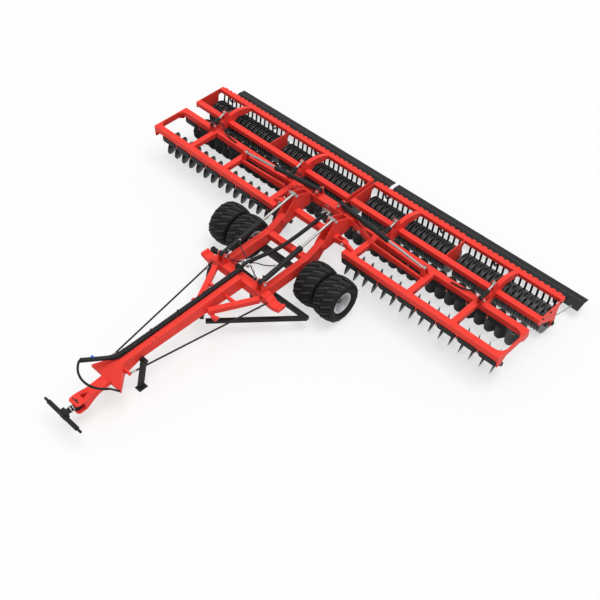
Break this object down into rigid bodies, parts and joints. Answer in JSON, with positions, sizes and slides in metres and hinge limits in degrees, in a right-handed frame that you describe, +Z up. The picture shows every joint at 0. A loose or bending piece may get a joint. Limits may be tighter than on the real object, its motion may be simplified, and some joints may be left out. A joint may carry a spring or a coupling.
{
  "type": "trailed disc harrow",
  "caption": "Wide trailed compact disc harrow: folding wings with notched discs, ring packer rollers, levelling boards, transport wheels and a drawbar.",
  "frame": {"origin": "on the ground, at the middle of the machine's length and width", "axes": "+Z up, +X across the machine to its right-hand side seen from behind, +Y rearwards, the drawbar towards -Y"},
  "size_m": [10.16, 9.2749, 1.3819],
  "materials": {
    "red_paint": "gloss",
    "black_steel": "satin",
    "disc_steel": "satin",
    "chrome": "polished",
    "tyre_rubber": "matt",
    "rim_silver": "satin"
  },
  "bodies": {
    "chassis": {"drawbar": "red_paint", "crossbeam": "red_paint", "main_beams": "red_paint", "drawbar_braces": "red_paint", "axle_beam": "black_steel", "guard_frame": "black_steel", "tie_rods": "black_steel", "hose_guide": "black_steel"},
    "jack": {"jack_leg": "black_steel"},
    "knuckle": {"hitch_knuckle": "black_steel"},
    "cross_shaft": {"hitch_shaft": "black_steel"},
    "lift_barrels": {"lift_barrels": "black_steel"},
    "lift_rods": {"lift_rods": "chrome"},
    "centre_frame": {"towers": "red_paint", "centre_tube": "red_paint", "centre_beam": "red_paint"},
    "wheels_left": {"tyres_left": "tyre_rubber", "rims_left": "rim_silver"},
    "wing_left": {"front_beam_left": "red_paint", "middle_beam_left": "red_paint", "cross_members_left": "red_paint", "end_plate_left": "red_paint", "spar_rails_left": "red_paint", "discs_left": "disc_steel", "disc_arms_left": "black_steel"},
    "packer_left": {"packer_beam_left": "red_paint", "comb_beam_left": "red_paint", "packer_arms_left": "red_paint", "scrapers_left": "black_steel", "rear_board_left": "black_steel"},
    "roller_left": {"roller_left": "black_steel"},
    "fold_barrel_left": {"fold_barrel_left": "black_steel"},
    "fold_rod_left": {"fold_rod_left": "chrome"},
    "depth_barrels_left": {"depth_barrels_left": "black_steel"},
    "depth_rods_left": {"depth_rods_left": "chrome"},
    "wheels_right": {"tyres_right": "tyre_rubber", "rims_right": "rim_silver"},
    "wing_right": {"front_beam_right": "red_paint", "middle_beam_right": "red_paint", "cross_members_right": "red_paint", "end_plate_right": "red_paint", "spar_rails_right": "red_paint", "discs_right": "disc_steel", "disc_arms_right": "black_steel"},
    "packer_right": {"packer_beam_right": "red_paint", "comb_beam_right": "red_paint", "packer_arms_right": "red_paint", "scrapers_right": "black_steel", "rear_board_right": "black_steel"},
    "roller_right": {"roller_right": "black_steel"},
    "fold_barrel_right": {"fold_barrel_right": "black_steel"},
    "fold_rod_right": {"fold_rod_right": "chrome"},
    "depth_barrels_right": {"depth_barrels_right": "black_steel"},
    "depth_rods_right": {"depth_rods_right": "chrome"}
  },
  "joints": [
    {"name": "tilt", "type": "hinge", "parent": "chassis", "child": "centre_frame", "pos_m": [0, 1.5275, 0.87], "axis": [1, 0, 0], "range_deg": [0, 90]},
    {"name": "lift_barrel_swing", "type": "hinge", "parent": "chassis", "child": "lift_barrels", "pos_m": [0, -0.1625, 1.02], "axis": [1, 0, 0], "range_deg": [-0.8708, 0]},
    {"name": "lift_rod_slide", "type": "slide", "parent": "lift_barrels", "child": "lift_rods", "axis": [0, 0.9876, 0.1568], "range_m": [-0.80876, 0]},
    {"name": "hitch_yaw", "type": "hinge", "parent": "chassis", "child": "knuckle", "pos_m": [0, -4.2725, 0.48], "axis": [0, 0, 1], "range_deg": [-55, 55]},
    {"name": "hitch_roll", "type": "hinge", "parent": "knuckle", "child": "cross_shaft", "pos_m": [0, -4.5925, 0.48], "axis": [0, 1, 0], "range_deg": [-12, 12]},
    {"name": "jack_fold", "type": "hinge", "parent": "chassis", "child": "jack", "pos_m": [0.17, -2.8425, 0.64], "axis": [1, 0, 0], "range_deg": [0, 90]},
    {"name": "wheels_left_spin", "type": "hinge", "parent": "chassis", "child": "wheels_left", "pos_m": [-1.2675, 0.9175, 0.475], "axis": [1, 0, 0], "continuous": true},
    {"name": "fold_left", "type": "hinge", "parent": "centre_frame", "child": "wing_left", "pos_m": [-0.9, 2.3575, 0.935], "axis": [0, 1, 0], "range_deg": [0, 90]},
    {"name": "fold_barrel_left_swing", "type": "hinge", "parent": "centre_frame", "child": "fold_barrel_left", "pos_m": [-0.31, 2.3725, 1.275], "axis": [0, 1, 0], "range_deg": [0, 75.29]},
    {"name": "fold_rod_left_slide", "type": "slide", "parent": "fold_barrel_left", "child": "fold_rod_left", "axis": [-0.9926, 0, -0.1213], "range_m": [-0.84717, 0]},
    {"name": "packer_left_depth", "type": "hinge", "parent": "wing_left", "child": "packer_left", "pos_m": [-2.4875, 2.7525, 0.735], "axis": [1, 0, 0], "range_deg": [-8, 8]},
    {"name": "depth_barrels_left_swing", "type": "hinge", "parent": "wing_left", "child": "depth_barrels_left", "pos_m": [-2.6, 2.5275, 0.985], "axis": [1, 0, 0], "range_deg": [-5.41, 5.41]},
    {"name": "depth_rods_left_slide", "type": "slide", "parent": "depth_barrels_left", "child": "depth_rods_left", "axis": [0, 0.9487, 0.3162], "range_m": [-0.0435, 0.0435]},
    {"name": "roller_left_spin", "type": "hinge", "parent": "packer_left", "child": "roller_left", "pos_m": [-2.4875, 3.5475, 0.3], "axis": [1, 0, 0], "continuous": true},
    {"name": "wheels_right_spin", "type": "hinge", "parent": "chassis", "child": "wheels_right", "pos_m": [1.2675, 0.9175, 0.475], "axis": [1, 0, 0], "continuous": true},
    {"name": "fold_right", "type": "hinge", "parent": "centre_frame", "child": "wing_right", "pos_m": [0.9, 2.3575, 0.935], "axis": [0, -1, 0], "range_deg": [0, 90]},
    {"name": "fold_barrel_right_swing", "type": "hinge", "parent": "centre_frame", "child": "fold_barrel_right", "pos_m": [0.31, 2.3725, 1.275], "axis": [0, -1, 0], "range_deg": [0, 75.29]},
    {"name": "fold_rod_right_slide", "type": "slide", "parent": "fold_barrel_right", "child": "fold_rod_right", "axis": [0.9926, 0, -0.1213], "range_m": [-0.84717, 0]},
    {"name": "packer_right_depth", "type": "hinge", "parent": "wing_right", "child": "packer_right", "pos_m": [2.4875, 2.7525, 0.735], "axis": [1, 0, 0], "range_deg": [-8, 8]},
    {"name": "depth_barrels_right_swing", "type": "hinge", "parent": "wing_right", "child": "depth_barrels_right", "pos_m": [2.6, 2.5275, 0.985], "axis": [1, 0, 0], "range_deg": [-5.41, 5.41]},
    {"name": "depth_rods_right_slide", "type": "slide", "parent": "depth_barrels_right", "child": "depth_rods_right", "axis": [0, 0.9487, 0.3162], "range_m": [-0.0435, 0.0435]},
    {"name": "roller_right_spin", "type": "hinge", "parent": "packer_right", "child": "roller_right", "pos_m": [2.4875, 3.5475, 0.3], "axis": [1, 0, 0], "continuous": true}
  ],
  "couplings": [
    {"joint": "lift_barrel_swing", "follows": "tilt", "ratio": -0.009564},
    {"joint": "lift_rod_slide", "follows": "tilt", "m_per_rad": -0.51424},
    {"joint": "fold_barrel_left_swing", "follows": "fold_left", "ratio": 0.83644},
    {"joint": "fold_rod_left_slide", "follows": "fold_left", "m_per_rad": -0.53869},
    {"joint": "depth_barrels_left_swing", "follows": "packer_left_depth", "ratio": 0.67525},
    {"joint": "depth_rods_left_slide", "follows": "packer_left_depth", "m_per_rad": -0.30798},
    {"joint": "fold_barrel_right_swing", "follows": "fold_right", "ratio": 0.83644},
    {"joint": "fold_rod_right_slide", "follows": "fold_right", "m_per_rad": -0.53869},
    {"joint": "depth_barrels_right_swing", "follows": "packer_right_depth", "ratio": 0.67525},
    {"joint": "depth_rods_right_slide", "follows": "packer_right_depth", "m_per_rad": -0.30798}
  ]
}
